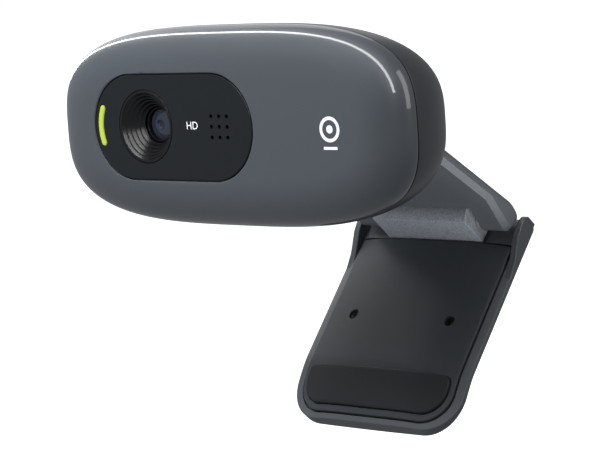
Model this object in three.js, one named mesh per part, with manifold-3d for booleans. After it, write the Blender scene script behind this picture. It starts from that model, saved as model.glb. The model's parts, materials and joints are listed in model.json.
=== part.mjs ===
// A clip-on webcam: an oval camera head that tilts on a flat arm, and a padded leg hinged at
// the arm's far end, so that arm and leg hook over the top edge of a screen.
//
// Millimetres and degrees. +X is to the right seen from the front, +Y is away from the viewer
// and +Z is up. The origin is the middle of the arm's flat underside, where it rests on a screen.
import * as THREE from "three";
import { mergeVertices } from "three/addons/utils/BufferGeometryUtils.js";
import Module from "manifold-3d";

// ---------- driving dimensions ----------

// Head: depths are counted from the flat middle of its front face, x and z from its centre.
const head = { width: 72.9, height: 31.9, depth: 21.7, squareness: 3.2, sides: 40 };
const seam = { depth: 5.85, gap: 0.15, frontReach: 8.0, rearReach: 12.15, steps: 6 };
const wall = { front: 2.2, rim: 2.0, rear: 1.8, rearRim: 2.6, lip: 0.9, lipDepth: 5.3 };
const panel = { x: -8.85, z: 0.19, width: 34.46, height: 16.87, face: 0.05, back: 0.9, gap: 0.15 };
const lens = { x: -14.6, z: 0.3, hoodRadius: 5.85, barrelRadius: 2.85, glassRadius: 2.1 };
const led = { radius: 7.2, width: 1.15, from: 151, to: 205 };
const mic = { x: 1.59, z: 0.35, pitch: 1.66, holeRadius: 0.33, rows: 3, capsuleRadius: 2.0 };
const board = { left: -27, right: 20, halfHeight: 8.5, front: 11.6, thickness: 1.2, standRadius: 2 };
const shellScrew = { x: 30.3, seat: 13.9, postEnd: 9.0, postRadius: 2.6, tubeRadius: 2.9 };
const gland = { x: -17, boreRadius: 1.6, neckRadius: 2.5, flangeRadius: 3.4 };

// Tilt joint between head and arm, and hinge between arm and leg: both turn about X.
const tilt = { y: 25.0, z: 0, radius: 2.9, barrelHalf: 5.2, cheekIn: 5.8, cheekOut: 9.3 };
const tiltPin = { radius: 1.2, bore: 1.3, half: 9.2 };
const tiltWasher = { radius: 2.4, bore: 1.3, inner: 5.35, outer: 5.65 };
const hinge = { y: 54.6, z: -21.4, bore: 1.1, boreEnd: 15.4, knuckleRadius: 4.5, knuckleHalf: 10.2 };
const hingePin = { radius: 0.9, left: -16.2, right: 15.2 };
const hingeWasher = { radius: 1.8, bore: 1.1, inner: 10.4, outer: 11.0 };

// Arm: "along" runs from the hinge away from the head, "up" is square to the arm's faces.
const arm = { slope: 32.5, halfWidth: 16.6, under: 0.51, top: 3.11, chamfer: 1.0, start: -31 };
const armEnd = { flare: -7, lobe: 1.85, notch: -4.9, notchHalf: 11.2, tipAlong: 2.35, tipUp: 0.9 };
const restAlong = -17;

// Leg: "down" runs from the hinge to the foot, "out" is square to its face, towards the head.
const leg = { slope: 48.5, halfWidth: 18.2, top: -2.35, end: 38.9, corner: 7, columns: 14 };
const legFace = { middle: -2.14, flat: 5.2, crown: 1.1, crownHalf: 16.6, bend: 28.5, foot: 10 };
const legBack = { middle: -5.1, crown: 0.4, rimDrop: 0.3, floor: -4.0, hollow: -3.2 };
const plate = { halfWidth: 16.3, top: 3.3, end: 37.6, corner: 5.6, under: -3.7, gap: 0.3 };
const pad = {
  halfWidth: 15.3, top: 29.4, end: 36.4, corner: 4.5, topCorner: 1, raised: 0.5, sunk: 0.5, gap: 0.15,
};
const legHole = { x: 10.5, down: 19.1, radius: 1.0, ledge: -3.25, through: 0.6, thread: 0.55 };
const knuckle = {
  front: 3.0, back: -3.2, gap: 0.3, screwX: 6, screwDown: 2.1, screwHole: 0.7, screwSink: 1.4,
};
const earInner = 16.9;

const colour = {
  shell: [0x3f434b, 0.3],
  rear: [0x2d2f33, 0.45],
  panel: [0x15161a, 0.35],
  hood: [0x101114, 0.4],
  glass: [0x1c2738, 0.05],
  lit: [0xc9e84a, 0.5],
  clip: [0x3a3c41, 0.6],
  grain: [0x53565d, 0.7],
  rubber: [0x26282b, 0.85],
  circuit: [0x1f5a3c, 0.6],
  chip: [0x191a1c, 0.5],
  nylon: [0xd8d6cc, 0.6],
};
const steel = [0xb9bcc0, 0.35];

// ---------- solids ----------

const wasm = await Module();
wasm.setup();

function toSolid(geometry) {
  const bare = geometry.index ? geometry.toNonIndexed() : geometry.clone();
  bare.deleteAttribute("normal");
  bare.deleteAttribute("uv");
  const merged = mergeVertices(bare, 1e-4);
  const mesh = new wasm.Mesh({
    numProp: 3,
    vertProperties: merged.attributes.position.array,
    triVerts: new Uint32Array(merged.index.array),
  });
  return new wasm.Manifold(mesh);
}

function toGeometry(solid) {
  const { vertProperties, triVerts } = solid.getMesh();
  const geometry = new THREE.BufferGeometry();
  geometry.setAttribute("position", new THREE.BufferAttribute(vertProperties, 3));
  geometry.setIndex(new THREE.BufferAttribute(triVerts, 1));
  return geometry;
}

function join(first, ...rest) {
  const whole = rest.reduce((sum, piece) => sum.add(toSolid(piece)), toSolid(first));
  return toGeometry(whole);
}

function cut(first, ...rest) {
  const left = rest.reduce((sum, piece) => sum.subtract(toSolid(piece)), toSolid(first));
  return toGeometry(left);
}

function common(first, second) {
  return toGeometry(toSolid(first).intersect(toSolid(second)));
}

// A box between two corners.
function block([x0, y0, z0], [x1, y1, z1]) {
  const box = new THREE.BoxGeometry(x1 - x0, y1 - y0, z1 - z0);
  return box.translate((x0 + x1) / 2, (y0 + y1) / 2, (z0 + z1) / 2);
}

// A round bar along Y through (x, z).
function barY(radius, y0, y1, x, z, sides = 20) {
  const bar = new THREE.CylinderGeometry(radius, radius, y1 - y0, sides);
  return bar.translate(x, (y0 + y1) / 2, z);
}

// A round bar along X through (y, z).
function barX(radius, x0, x1, y, z, sides = 20) {
  const bar = new THREE.CylinderGeometry(radius, radius, x1 - x0, sides).rotateZ(Math.PI / 2);
  return bar.translate((x0 + x1) / 2, y, z);
}

// A turned piece about the Y axis through (x, z): its outline is [radius, y] points.
function turned(outline, x, z, sides = 24) {
  const points = outline.map(([radius, y]) => new THREE.Vector2(radius, y));
  return new THREE.LatheGeometry(points, sides).translate(x, 0, z);
}

// A flat outline in x and z, given thickness along Y.
function slabY(shape, y0, y1) {
  const settings = { depth: y1 - y0, bevelEnabled: false, curveSegments: 9 };
  const slab = new THREE.ExtrudeGeometry(shape, settings);
  return slab.rotateX(Math.PI / 2).translate(0, y1, 0);
}

// A side outline in y and z, given width along X between x0 and x1, with an optional chamfer.
function slabX(shape, x0, x1, chamfer = 0) {
  const bevel = { bevelThickness: chamfer, bevelSize: chamfer, bevelOffset: -chamfer, bevelSegments: 1 };
  const settings = { depth: x1 - x0 - 2 * chamfer, curveSegments: 10, bevelEnabled: chamfer > 0, ...bevel };
  const slab = new THREE.ExtrudeGeometry(shape, settings);
  slab.translate(0, 0, x0 + chamfer);
  // Shape x becomes y, shape y becomes z, and the thickness becomes x.
  return slab.applyMatrix4(new THREE.Matrix4().set(0, 0, 1, 0, 1, 0, 0, 0, 0, 1, 0, 0, 0, 0, 0, 1));
}

// Squarish ovals stacked along Y: each station has a depth and how far it lies inside the
// head's widest outline.
function pebble(stations) {
  const rings = stations.length - 1;
  const body = new THREE.CylinderGeometry(1, 1, 1, head.sides, rings);
  const point = body.attributes.position;
  for (let i = 0; i < point.count; i += 1) {
    const { depth, inset } = stations[Math.round((point.getY(i) + 0.5) * rings)];
    const reach = Math.hypot(point.getX(i), point.getZ(i));
    const oval = (value) => reach * Math.sign(value) * Math.abs(value) ** (2 / head.squareness);
    const angle = Math.atan2(point.getZ(i), point.getX(i));
    const x = oval(Math.cos(angle)) * (head.width / 2 - inset);
    const z = oval(Math.sin(angle)) * (head.height / 2 - inset);
    point.setXYZ(i, x, depth, z);
  }
  return body;
}

// Stations of a rounded end: from its flat middle out to its rim, a quarter of an ellipse.
function roundedEnd(flat, rim, reach, offset) {
  return Array.from({ length: seam.steps + 1 }, (_, step) => {
    const turn = ((step / seam.steps) * Math.PI) / 2;
    return {
      depth: flat + (rim - flat) * (1 - Math.cos(turn)),
      inset: offset + reach * (1 - Math.sin(turn)),
    };
  });
}

function stadium(x, z, width, height) {
  const radius = height / 2;
  const run = width / 2 - radius;
  const shape = new THREE.Shape();
  shape.absarc(x + run, z, radius, -Math.PI / 2, Math.PI / 2);
  shape.absarc(x - run, z, radius, Math.PI / 2, (3 * Math.PI) / 2);
  return shape;
}

// A rectangle whose corners are rounded, given the radius of its low and of its high corners.
function roundedRectangle(x0, y0, x1, y1, low, high) {
  const shape = new THREE.Shape();
  const quarter = Math.PI / 2;
  shape.absarc(x1 - low, y0 + low, low, -quarter, 0);
  shape.absarc(x1 - high, y1 - high, high, 0, quarter);
  shape.absarc(x0 + high, y1 - high, high, quarter, 2 * quarter);
  shape.absarc(x0 + low, y0 + low, low, 2 * quarter, 3 * quarter);
  return shape;
}

// The bowed window of the lamp: a stretch of a ring around the panel's left end.
function lampArc(spare) {
  const centreX = panel.x - panel.width / 2 + panel.height / 2;
  const from = THREE.MathUtils.degToRad(led.from);
  const to = THREE.MathUtils.degToRad(led.to);
  const half = led.width / 2 + spare;
  const lap = spare / led.radius;
  const shape = new THREE.Shape();
  shape.absarc(centreX, panel.z, led.radius + half, from - lap, to + lap);
  shape.absarc(centreX, panel.z, led.radius - half, to + lap, from - lap, true);
  return shape;
}

// A screw along +Y, its head's top at y = 0, with a cross recess.
function screw(headRadius, headHeight, shankRadius, length) {
  const outline = [
    [0, 0], [headRadius, 0], [headRadius, headHeight],
    [shankRadius, headHeight], [shankRadius, length], [0, length],
  ];
  const reach = headRadius * 0.62;
  const half = headRadius * 0.16;
  const deep = headHeight * 0.6;
  const across = block([-reach, -1, -half], [reach, deep, half]);
  const upright = block([-half, -1, -reach], [half, deep, reach]);
  return cut(turned(outline, 0, 0, 12), across, upright);
}

// ---------- scene graph ----------

const webcam = new THREE.Group();
const headGroup = new THREE.Group();
const armGroup = new THREE.Group();
const legGroup = new THREE.Group();
webcam.add(headGroup, armGroup, legGroup);

armGroup.position.set(0, hinge.y, hinge.z);
armGroup.rotation.x = -THREE.MathUtils.degToRad(arm.slope);
legGroup.position.set(0, hinge.y, hinge.z);
legGroup.rotation.x = THREE.MathUtils.degToRad(leg.slope);

// The arm group's Y is "along" and its Z is "up"; the leg group's Y is minus "down" and its Z "out".
armGroup.updateMatrix();
const restPoint = new THREE.Vector3(0, restAlong, arm.under).applyMatrix4(armGroup.matrix);
webcam.position.copy(restPoint).negate();

function part(group, name, geometry, [shade, roughness], metalness = 0) {
  const material = new THREE.MeshStandardMaterial({ color: shade, roughness, metalness });
  const mesh = new THREE.Mesh(geometry, material);
  mesh.name = name;
  group.add(mesh);
  return mesh;
}

// ---------- head: shells ----------

const lampX = panel.x - panel.width / 2 + panel.height / 2 - led.radius;
const boardPosts = [[-21.5, -6.5], [14, 6.5]];
const frontEnd = seam.depth - seam.gap / 2;
const rearStart = seam.depth + seam.gap / 2;
const stem = { halfX: tilt.barrelHalf, halfZ: 2.4 };
const neck = { halfX: stem.halfX + 0.2, halfZ: stem.halfZ + 0.2 };
const bracketScrewX = 7.5;

function frontShell() {
  const outside = pebble(roundedEnd(0, frontEnd, seam.frontReach, 0));
  const hollow = roundedEnd(wall.front, frontEnd, seam.frontReach - 1.5, wall.rim);
  hollow.push({ depth: seam.depth + 2, inset: wall.rim });
  const shell = cut(outside, pebble(hollow));
  const posts = [-1, 1].map((side) =>
    barY(shellScrew.postRadius, wall.front - 0.8, shellScrew.postEnd, side * shellScrew.x, 0));
  const boardStands = boardPosts.map(([x, z]) =>
    barY(board.standRadius, wall.front - 0.3, board.front - 0.1, x, z));
  const solid = join(shell, ...posts, ...boardStands);
  const spare = 2 * panel.gap;
  const recess = stadium(panel.x, panel.z, panel.width + spare, panel.height + spare);
  return cut(
    solid,
    slabY(recess, -1, panel.back + 0.1),
    barY(lens.hoodRadius + 0.25, -1, 4, lens.x, lens.z, 24),
    slabY(lampArc(0.35), -1, 4),
    barY(2.6, -1, 4, mic.x, mic.z),
    ...[-1, 1].map((side) => barY(1.1, 4.4, 12, side * shellScrew.x, 0, 16)),
    ...boardPosts.map(([x, z]) => barY(0.9, 6, 12, x, z, 16)),
  );
}

function rearShell() {
  const outside = pebble(roundedEnd(head.depth, rearStart, seam.rearReach, 0).reverse());
  const innerEnd = head.depth - wall.rear;
  const hollow = roundedEnd(innerEnd, rearStart, seam.rearReach - 1.5, wall.rearRim).reverse();
  hollow.unshift({ depth: seam.depth - 2, inset: wall.rearRim });
  const lipOutside = wall.rim + 0.15;
  const lipInside = lipOutside + wall.lip;
  const lip = cut(
    pebble([{ depth: wall.lipDepth, inset: lipOutside }, { depth: 8, inset: lipOutside }]),
    pebble([{ depth: 0, inset: lipInside }, { depth: 12, inset: lipInside }]),
  );
  const tubeStart = shellScrew.postEnd + 0.2;
  const tubes = [-1, 1].map((side) =>
    common(barY(shellScrew.tubeRadius, tubeStart, head.depth - 2, side * shellScrew.x, 0), outside));
  const bored = join(cut(outside, pebble(hollow)), lip, ...tubes);
  return cut(
    bored,
    ...[-1, 1].map((side) => barY(1.15, 0, 20, side * shellScrew.x, 0, 16)),
    ...[-1, 1].map((side) => barY(2.15, shellScrew.seat, 24, side * shellScrew.x, 0)),
    ...[-1, 1].map((side) => barY(1.0, 19, 21.1, side * bracketScrewX, 0, 16)),
    barY(gland.neckRadius + 0.2, 18, 24, gland.x, 0),
    block([-neck.halfX, 18, -neck.halfZ], [neck.halfX, 24, neck.halfZ]),
  );
}

part(headGroup, "front_shell", frontShell(), colour.shell);
part(headGroup, "rear_shell", rearShell(), colour.rear);

// ---------- head: face ----------

function facePanel() {
  const holes = [];
  for (let row = 0; row < mic.rows; row += 1) {
    for (let column = 0; column < mic.rows; column += 1) {
      const x = mic.x + (column - 1) * mic.pitch;
      const z = mic.z + (row - 1) * mic.pitch;
      holes.push(barY(mic.holeRadius, -1, 2, x, z, 10));
    }
  }
  const plain = slabY(stadium(panel.x, panel.z, panel.width, panel.height), panel.face, panel.back);
  const hoodHole = barY(lens.hoodRadius + 0.1, -1, 2, lens.x, lens.z, 24);
  return cut(plain, hoodHole, slabY(lampArc(0.1), -1, 2), ...holes);
}

// Conical steps narrow the hood from the panel down to the lens.
const hoodOutline = [
  [3.0, 3.2], [3.2, 2.1], [3.9, 2.0], [4.25, 1.0], [4.85, 0.9], [5.35, 0.0], [lens.hoodRadius, 0.0],
  [lens.hoodRadius, 4.0], [3.0, 4.0],
];

part(headGroup, "face_panel", facePanel(), colour.panel);
const hood = turned([...hoodOutline, hoodOutline[0]], lens.x, lens.z);
part(headGroup, "lens_hood", hood, colour.hood);
part(headGroup, "led_window", slabY(lampArc(0), 0.1, 3.2), colour.lit);

// ---------- head: camera module ----------

const { barrelRadius, glassRadius } = lens;
const barrelOutline = [
  [1.55, 3.3], [barrelRadius - 0.4, 3.3], [barrelRadius - 0.4, 4.3], [barrelRadius, 4.3],
  [barrelRadius, 9.5], [2.3, 9.5], [2.3, 3.65], [1.55, 3.65],
];
const frontGlass = [
  [0, 3.8], [0.8, 3.85], [1.5, 4.02],
  [glassRadius, 4.35], [glassRadius, 5.1], [0, 5.1],
];
const rearGlass = [[0, 6.1], [glassRadius, 6.1], [glassRadius, 6.9], [1.3, 7.25], [0, 7.4]];
const stopOutline = [[0.9, 5.4], [glassRadius, 5.4], [glassRadius, 5.8], [0.9, 5.8]];

part(headGroup, "lens_barrel", turned([...barrelOutline, barrelOutline[0]], lens.x, lens.z), colour.hood);
part(headGroup, "front_lens", turned(frontGlass, lens.x, lens.z), colour.glass);
part(headGroup, "lens_stop", turned([...stopOutline, stopOutline[0]], lens.x, lens.z), colour.chip);
part(headGroup, "rear_lens", turned(rearGlass, lens.x, lens.z), colour.glass);

const at = (x, y, z) => [lens.x + x, y, lens.z + z];
const holder = cut(
  block(at(-4.8, 7.0, -4.8), at(4.8, 11.4, 4.8)),
  barY(barrelRadius + 0.15, 6, 12, lens.x, lens.z, 24),
  block(at(-3.4, 9.7, -3.4), at(3.4, 12, 3.4)),
);
part(headGroup, "lens_holder", holder, colour.chip);
part(headGroup, "ir_filter", block(at(-2.8, 9.9, -2.8), at(2.8, 10.3, 2.8)), colour.glass);
part(headGroup, "image_sensor", block(at(-3.0, 10.7, -2.5), at(3.0, 11.5, 2.5)), colour.chip);

// ---------- head: board and what is on it ----------

const boardBack = board.front + board.thickness;
const boardShape = roundedRectangle(board.left, -board.halfHeight, board.right, board.halfHeight, 3, 3);
const mainBoard = cut(
  slabY(boardShape, board.front, boardBack),
  ...boardPosts.map(([x, z]) => barY(1.15, 11, 14, x, z, 16)),
);
part(headGroup, "main_board", mainBoard, colour.circuit);
part(headGroup, "led_chip", block([lampX - 0.8, 10.8, -0.6], [lampX + 0.8, 11.5, 1.0]), colour.nylon);
part(headGroup, "light_pipe", block([lampX - 0.7, 3.4, -1.5], [lampX + 0.7, 10.6, 1.9]), colour.glass);
part(headGroup, "processor_chip", block([2, boardBack + 0.1, -4], [10, boardBack + 1.1, 4]), colour.chip);
const connector = block([-20.5, boardBack + 0.1, -2], [-13.5, boardBack + 3.4, 2]);
part(headGroup, "cable_connector", connector, colour.nylon);

const bootOutline = [[2.15, 2.5], [2.5, 2.5], [2.5, 3.0], [3.0, 3.0], [3.0, 5.0], [2.15, 5.0]];
part(headGroup, "mic_boot", turned([...bootOutline, bootOutline[0]], mic.x, mic.z, 24), colour.rubber);
part(headGroup, "microphone", barY(mic.capsuleRadius, 3.2, 4.8, mic.x, mic.z), steel, 0.9);

boardPosts.forEach(([x, z], i) => {
  const boardScrew = screw(1.8, 1.1, 0.8, 6.5).rotateX(Math.PI).translate(x, boardBack + 1.2, z);
  part(headGroup, "board_screw_" + (i + 1), boardScrew, steel, 0.9);
});

// ---------- head: back ----------

const glandOutline = [
  [gland.boreRadius, 18.5], [gland.flangeRadius, 18.5], [gland.flangeRadius, 19.7],
  [gland.neckRadius, 19.7], [gland.neckRadius, 21.9],
  [3.1, 21.9], [3.0, 22.7], [2.4, 25.2], [gland.boreRadius, 25.2],
];
part(headGroup, "cable_gland", turned([...glandOutline, glandOutline[0]], gland.x, 0, 24), colour.rubber);

[-1, 1].forEach((side, i) => {
  const place = [side * shellScrew.x, shellScrew.seat + 1.5, 0];
  const shellFixing = screw(1.95, 1.4, 1.0, 10.5).rotateX(Math.PI).translate(...place);
  part(headGroup, "shell_screw_" + (i + 1), shellFixing, steel, 0.9);
});

// The tilt bracket's flange is screwed inside the rear shell, and its neck comes out to a barrel.
function tiltBracket() {
  const flange = block([-9.5, 18.2, -3.3], [9.5, 19.7, 3.3]);
  const post = block([-stem.halfX, 18.2, -stem.halfZ], [stem.halfX, tilt.y, stem.halfZ]);
  const barrel = barX(tilt.radius, -tilt.barrelHalf, tilt.barrelHalf, tilt.y, tilt.z, 32);
  return cut(
    join(flange, post, barrel),
    barX(tiltPin.bore, -10, 10, tilt.y, tilt.z),
    ...[-1, 1].map((side) => barY(1.1, 17, 20, side * bracketScrewX, 0, 16)),
  );
}

part(headGroup, "tilt_bracket", tiltBracket(), colour.clip);
[-1, 1].forEach((side, i) => {
  const bracketScrew = screw(1.7, 1.1, 0.9, 3.9).translate(side * bracketScrewX, 17.0, 0);
  part(headGroup, "bracket_screw_" + (i + 1), bracketScrew, steel, 0.9);
});

// ---------- arm ----------

// The tilt axis in the arm's own frame.
const tiltInArm = new THREE.Vector3(0, tilt.y, tilt.z).applyMatrix4(armGroup.matrix.clone().invert());

function armBase() {
  const side = new THREE.Shape();
  const lobeStart = THREE.MathUtils.degToRad(246);
  const lobeEnd = THREE.MathUtils.degToRad(350);
  side.moveTo(arm.start, arm.under);
  side.lineTo(armEnd.flare, arm.under);
  side.absarc(0, 0, armEnd.lobe, lobeStart, lobeEnd);
  side.lineTo(armEnd.tipAlong, armEnd.tipUp);
  side.quadraticCurveTo(2.0, arm.top, -1.5, arm.top);
  side.lineTo(arm.start, arm.top);
  const plan = new THREE.Shape();
  const full = arm.halfWidth;
  const narrow = tilt.cheekOut;
  plan.moveTo(-full - 1, 5);
  plan.lineTo(-full - 1, -22);
  plan.quadraticCurveTo(-full - 1, -27, -narrow, arm.start);
  plan.lineTo(narrow, arm.start);
  plan.quadraticCurveTo(full + 1, -27, full + 1, -22);
  plan.lineTo(full + 1, 5);
  const planSettings = { depth: 12, bevelEnabled: false, curveSegments: 8 };
  const planSlab = new THREE.ExtrudeGeometry(plan, planSettings).translate(0, 0, -5);
  const plateBody = common(slabX(side, -full, full, arm.chamfer), planSlab);
  const cheeks = [-1, 1].flatMap((hand) => {
    const [x0, x1] = [hand * tilt.cheekIn, hand * tilt.cheekOut].sort((a, b) => a - b);
    const eye = barX(tilt.radius, x0, x1, tiltInArm.y, tiltInArm.z, 32);
    return [eye, block([x0, tiltInArm.y, arm.under + 0.01], [x1, arm.start + 2, arm.top - 0.01])];
  });
  return cut(
    join(plateBody, ...cheeks),
    block([-armEnd.notchHalf, armEnd.notch, -5], [armEnd.notchHalf, 6, 8]),
    barX(hinge.bore, -20, hinge.boreEnd, 0, 0),
    barX(tiltPin.bore, -12, 12, tiltInArm.y, tiltInArm.z),
  );
}

part(armGroup, "arm_base", armBase(), colour.clip);
const { y: tiltY, z: tiltZ } = tiltInArm;
const tiltBar = barX(tiltPin.radius, -tiltPin.half, tiltPin.half, tiltY, tiltZ);
part(armGroup, "tilt_pin", tiltBar, steel, 0.9);
part(armGroup, "hinge_pin", barX(hingePin.radius, hingePin.left, hingePin.right, 0, 0), steel, 0.9);

// A flat ring around an axis along X, on one hand of the middle.
function washer(ring, hand, y, z) {
  const [x0, x1] = [hand * ring.inner, hand * ring.outer].sort((a, b) => a - b);
  return cut(barX(ring.radius, x0, x1, y, z), barX(ring.bore, x0 - 1, x1 + 1, y, z));
}

[["left", -1], ["right", 1]].forEach(([name, hand]) => {
  part(armGroup, "tilt_washer_" + name, washer(tiltWasher, hand, tiltY, tiltZ), colour.nylon);
  part(armGroup, "hinge_washer_" + name, washer(hingeWasher, hand, 0, 0), colour.nylon);
});

// ---------- leg ----------

// How far the leg's face lies below its flat middle: it falls away to the sides, and the foot
// bends back.
function sideFall(x) {
  const share = Math.max(0, Math.abs(x) - legFace.flat) / (legFace.crownHalf - legFace.flat);
  return legFace.crown * share ** 2;
}

const footSlope = Math.tan(THREE.MathUtils.degToRad(legFace.foot));
const footFall = (down) => footSlope * Math.max(0, down - legFace.bend);

// A round bar square to the leg's face, between two levels.
function barOut(radius, out0, out1, x, down, sides = 24) {
  const bar = new THREE.CylinderGeometry(radius, radius, out1 - out0, sides).rotateX(Math.PI / 2);
  return bar.translate(x, -down, (out0 + out1) / 2);
}

// A slab as long and wide as the leg, between two surfaces given as levels over x and down.
function legSlab(front, back) {
  const slab = new THREE.BoxGeometry(2 * leg.halfWidth, 2, 1, leg.columns, 2, 1);
  const point = slab.attributes.position;
  const rows = [leg.end + 1, legFace.bend, leg.top - 1];
  for (let i = 0; i < point.count; i += 1) {
    const x = point.getX(i);
    const down = rows[Math.round(point.getY(i) + 1)];
    const level = point.getZ(i) > 0 ? front(x) : back(x);
    point.setXYZ(i, x, -down, level - footFall(down));
  }
  return slab;
}

// A prism through the leg, from its outline in x and down.
function legPrism(halfWidth, top, end, topCorner, endCorner) {
  const shape = roundedRectangle(-halfWidth, -end, halfWidth, -top, endCorner, topCorner);
  const prism = new THREE.ExtrudeGeometry(shape, { depth: 30, bevelEnabled: false, curveSegments: 8 });
  return prism.translate(0, 0, -20);
}

const faceLevel = (x) => legFace.middle - sideFall(x);
const backLevel = (x) => legBack.middle + legBack.crown * (x / leg.halfWidth) ** 2;

function legBackShell() {
  const body = common(
    legSlab((x) => faceLevel(x) - legBack.rimDrop, backLevel),
    legPrism(leg.halfWidth, leg.top, leg.end, 1.6, leg.corner),
  );
  // Each ear is a low side wall that rises beside the hinge.
  const earSide = new THREE.Shape();
  earSide.moveTo(2.2, -4.5);
  earSide.lineTo(2.2, -2.2);
  earSide.quadraticCurveTo(2.0, -1.2, 0, -1.2);
  earSide.lineTo(-2.4, -1.6);
  earSide.lineTo(-6.5, -3.6);
  earSide.lineTo(-6.5, -4.5);
  const ears = [-1, 1].map((hand) => {
    const [x0, x1] = [hand * earInner, hand * leg.halfWidth].sort((a, b) => a - b);
    return slabX(earSide, x0, x1);
  });
  const { gap } = plate;
  const pocket = common(
    legSlab(() => 8, () => legBack.floor),
    legPrism(plate.halfWidth + gap, plate.top - gap, plate.end + gap, 0.5, plate.corner + gap),
  );
  const hollow = block([-earInner, -plate.top, legBack.hollow], [earInner, 6, 8]);
  const holes = [-1, 1].flatMap((hand) => [
    barOut(legHole.thread, -4.7, 0, hand * legHole.x, legHole.down, 16),
    barOut(knuckle.screwHole, -6, 0, hand * knuckle.screwX, knuckle.screwDown, 16),
    barOut(knuckle.screwSink, -6, -4.2, hand * knuckle.screwX, knuckle.screwDown, 20),
  ]);
  return cut(join(cut(body, pocket, hollow), ...ears), ...holes);
}

function legPlate() {
  const body = common(
    legSlab(faceLevel, () => plate.under),
    legPrism(plate.halfWidth, plate.top, plate.end, 0.5, plate.corner),
  );
  const { gap } = pad;
  const seat = common(
    legSlab(() => 8, (x) => faceLevel(x) - pad.sunk),
    legPrism(pad.halfWidth + gap, pad.top - gap, pad.end + gap, pad.topCorner, pad.corner + gap),
  );
  const holes = [-1, 1].flatMap((hand) => [
    barOut(legHole.radius, legHole.ledge, 0, hand * legHole.x, legHole.down),
    barOut(legHole.through, -6, 0, hand * legHole.x, legHole.down, 16),
  ]);
  return cut(body, seat, ...holes);
}

function legPad() {
  return common(
    legSlab((x) => faceLevel(x) + pad.raised, (x) => faceLevel(x) - pad.sunk + pad.gap),
    legPrism(pad.halfWidth, pad.top, pad.end, pad.topCorner, pad.corner),
  );
}

// The knuckle fills the arm's notch around the pin; its flat side stands up from the leg's plate.
function hingeKnuckle() {
  const half = hinge.knuckleHalf;
  const round = barX(hinge.knuckleRadius, -half, half, 0, 0, 40);
  const low = legBack.hollow + knuckle.gap;
  const limits = block([-half - 1, -knuckle.front, low], [half + 1, -knuckle.back, 8]);
  const screwHoles = [-1, 1].map((hand) =>
    barOut(knuckle.screwHole, -4, -0.6, hand * knuckle.screwX, knuckle.screwDown, 16));
  return cut(common(round, limits), barX(hinge.bore, -half - 1, half + 1, 0, 0), ...screwHoles);
}

part(legGroup, "leg_back", legBackShell(), colour.clip);
part(legGroup, "leg_plate", legPlate(), colour.clip);
part(legGroup, "leg_pad", legPad(), colour.rubber);
part(legGroup, "hinge_knuckle", hingeKnuckle(), colour.grain);

[-1, 1].forEach((hand, i) => {
  const plateScrew = screw(0.85, 0.4, 0.45, 1.85).rotateX(-Math.PI / 2);
  plateScrew.translate(hand * legHole.x, -legHole.down, legHole.ledge + 0.5);
  part(legGroup, "plate_screw_" + (i + 1), plateScrew, steel, 0.9);
  const knuckleScrew = screw(1.25, 0.6, 0.6, 4.0).rotateX(Math.PI / 2);
  knuckleScrew.translate(hand * knuckle.screwX, -knuckle.screwDown, -4.9);
  part(legGroup, "knuckle_screw_" + (i + 1), knuckleScrew, steel, 0.9);
});

export default webcam;
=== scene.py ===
import json
import math

import bmesh
import bpy
from mathutils import Matrix, Vector


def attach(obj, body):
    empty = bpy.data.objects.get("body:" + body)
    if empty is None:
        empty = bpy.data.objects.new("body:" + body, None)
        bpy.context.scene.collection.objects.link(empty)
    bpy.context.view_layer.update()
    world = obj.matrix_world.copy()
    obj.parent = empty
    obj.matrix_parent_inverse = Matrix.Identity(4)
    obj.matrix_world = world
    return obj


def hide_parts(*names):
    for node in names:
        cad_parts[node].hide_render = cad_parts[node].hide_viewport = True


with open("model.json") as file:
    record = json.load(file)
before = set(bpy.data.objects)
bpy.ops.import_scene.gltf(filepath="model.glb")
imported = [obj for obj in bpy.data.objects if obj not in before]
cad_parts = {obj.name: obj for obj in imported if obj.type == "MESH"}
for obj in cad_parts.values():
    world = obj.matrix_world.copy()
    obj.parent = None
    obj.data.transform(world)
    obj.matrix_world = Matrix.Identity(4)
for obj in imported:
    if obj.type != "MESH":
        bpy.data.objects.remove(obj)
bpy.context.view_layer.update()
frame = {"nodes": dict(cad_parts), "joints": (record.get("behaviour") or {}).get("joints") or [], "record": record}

mm = 0.001
axisTurn = math.radians(90)

# Three places to model in: the head's own axes, the arm's and the leg's.
# On the head y runs back from the face; on the arm y runs away from the head along it;
# on the leg y runs up it and z out of its face.
hingeAt = {joint["name"]: Vector(joint["pos_m"]) for joint in frame["joints"]}
placing = {"tiltBehindFace": 0.025, "armSlope": -32.5, "legSlope": 48.5}
places = {
    "head": Matrix.Translation(hingeAt["head_tilt"] - Vector((0, placing["tiltBehindFace"], 0))),
    "arm": Matrix.Translation(hingeAt["leg_fold"]) @ Matrix.Rotation(math.radians(placing["armSlope"]), 4, "X"),
    "leg": Matrix.Translation(hingeAt["leg_fold"]) @ Matrix.Rotation(math.radians(placing["legSlope"]), 4, "X"),
}


# Where the camera stands in the head's axes, in metres, and where it looks, in degrees.
cameraSet = {"lens": 142.2, "azimuth": 41.533, "elevation": 7.187, "roll": -3.831,
             "at": (0.25457, -0.26816, 0.03059), "clip": (0.01, 30)}


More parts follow.
